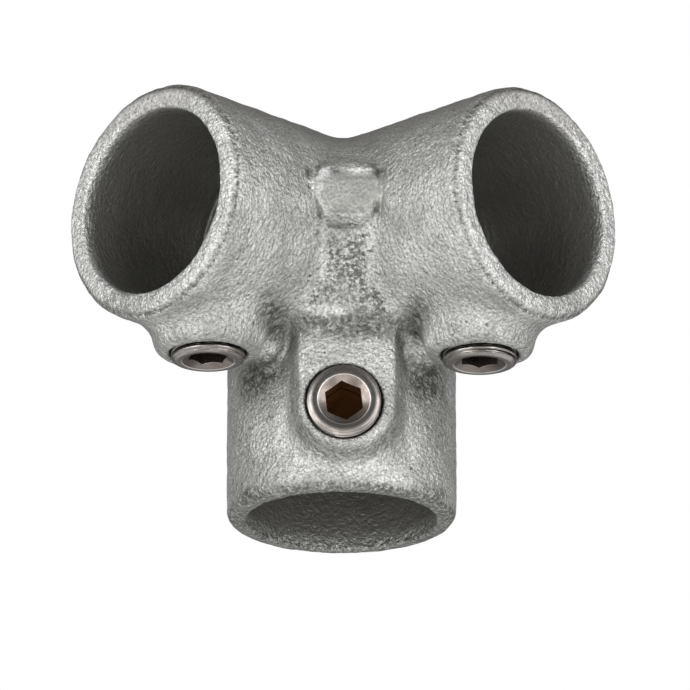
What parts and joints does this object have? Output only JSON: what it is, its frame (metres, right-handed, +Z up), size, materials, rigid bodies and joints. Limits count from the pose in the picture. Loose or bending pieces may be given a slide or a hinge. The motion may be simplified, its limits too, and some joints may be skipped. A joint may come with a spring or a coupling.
{
  "type": "tube clamp corner fitting",
  "caption": "Cast corner clamp with a post socket and level rail sockets at right angles, each holding its tube with a hexagon-socket set screw in a boss.",
  "frame": {"origin": "centre of the post socket's mouth, in the plane of its rim", "axes": "+Z up the post, -Y towards the open side of the corner between the rail sockets, +X to the right seen from that side"},
  "size_m": [0.1242, 0.0895, 0.0894],
  "materials": {
    "galvanised_casting": "hot-dip galvanised over a rough sand casting",
    "screw_steel": "turned steel, slightly warm grey"
  },
  "bodies": {
    "casting": {"corner_casting": "galvanised_casting"},
    "post_screw": {"post_screw": "screw_steel"},
    "left_rail_screw": {"left_rail_screw": "screw_steel"},
    "right_rail_screw": {"right_rail_screw": "screw_steel"}
  },
  "joints": [
    {"name": "post_screw_travel", "type": "slide", "parent": "casting", "child": "post_screw", "axis": [0, 1, 0], "range_m": [-0.00267, 0.00401]},
    {"name": "left_rail_screw_travel", "type": "slide", "parent": "casting", "child": "left_rail_screw", "axis": [0, 0, 1], "range_m": [-0.00267, 0.00401]},
    {"name": "right_rail_screw_travel", "type": "slide", "parent": "casting", "child": "right_rail_screw", "axis": [0, 0, 1], "range_m": [-0.00267, 0.00401]}
  ]
}
